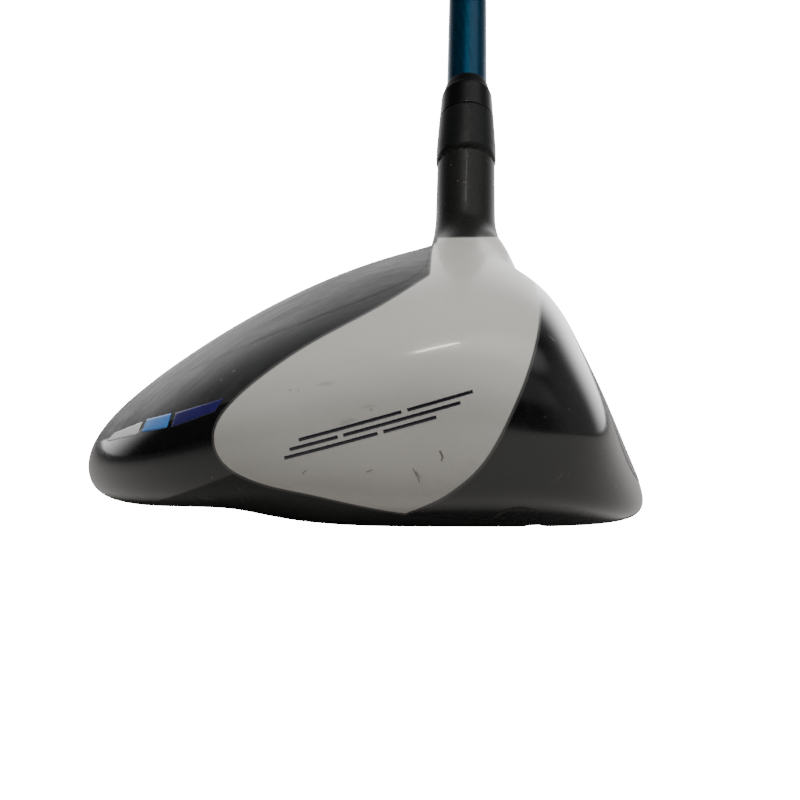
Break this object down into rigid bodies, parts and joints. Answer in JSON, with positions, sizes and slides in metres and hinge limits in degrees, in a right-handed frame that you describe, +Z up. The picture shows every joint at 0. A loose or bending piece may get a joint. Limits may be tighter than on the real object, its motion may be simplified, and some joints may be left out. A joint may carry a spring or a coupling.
{
  "type": "hybrid golf club",
  "caption": "Right-handed hybrid golf club: hollow head with crown, face and slot pieces, screw-held loft sleeve, ferrule, tapered shaft and rubber grip.",
  "frame": {"origin": "the point where the shaft axis meets the ground with the club soled at address", "axes": "+X along the target line, out of the face; +Y from toe to heel, toward the player; +Z up"},
  "size_m": [0.0702, 0.5885, 0.8739],
  "materials": {
    "head_paint": "satin black body with a pearl white front panel",
    "crown_paint": "satin black with fine brushing",
    "face_steel": "brushed, dark edge",
    "slot_rubber": "matt",
    "screw_steel": "black oxide, worn",
    "sleeve_alu": "dark anodised satin",
    "ferrule_plastic": "gloss black",
    "shaft_graphite": "gloss blue lacquer over woven carbon tube",
    "weight_brass": "turned",
    "tape_fabric": "paper-backed adhesive tape",
    "grip_rubber": "matt, moulded texture"
  },
  "bodies": {
    "head": {"head_body": "head_paint", "crown_plate": "crown_paint", "face_plate": "face_steel", "slot_insert": "slot_rubber"},
    "screw": {"hosel_screw": "screw_steel", "screw_washer": "screw_steel", "screw_clip": "screw_steel"},
    "shaft_assembly": {"loft_sleeve": "sleeve_alu", "ferrule": "ferrule_plastic", "shaft": "shaft_graphite", "tip_weight": "weight_brass", "grip_tape": "tape_fabric", "grip": "grip_rubber", "grip_cap": "grip_rubber"}
  },
  "joints": [
    {"name": "sleeve_lift", "type": "slide", "parent": "head", "child": "shaft_assembly", "axis": [0, 0.5, 0.866], "range_m": [0, 0.04]},
    {"name": "screw_turn", "type": "hinge", "parent": "head", "child": "screw", "pos_m": [0, 0.01, 0.01732], "axis": [0, 0.5, 0.866], "range_deg": [0, 3600]}
  ]
}
